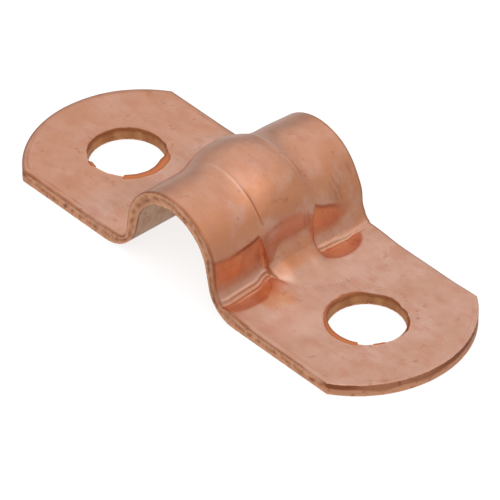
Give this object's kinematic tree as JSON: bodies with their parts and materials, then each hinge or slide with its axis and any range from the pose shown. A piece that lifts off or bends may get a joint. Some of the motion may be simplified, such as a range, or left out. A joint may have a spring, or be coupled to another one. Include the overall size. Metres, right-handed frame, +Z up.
{
  "type": "pipe clip",
  "caption": "Two-hole pipe clip stamped from one copper strip: a ribbed saddle over the tube, coined walls with gussets, and flat feet with rounded ends and screw holes.",
  "frame": {"origin": "middle of the clip on the plane that both feet lie on, below the axis of the tube", "axes": "+X along the strip from foot to foot, +Y along the tube, +Z up from the wall through the crown"},
  "size_m": [0.0354, 0.0126, 0.0077],
  "materials": {
    "copper": "satin copper, as stamped"
  },
  "bodies": {
    "root": {"pipe_strap": "copper"}
  },
  "joints": []
}
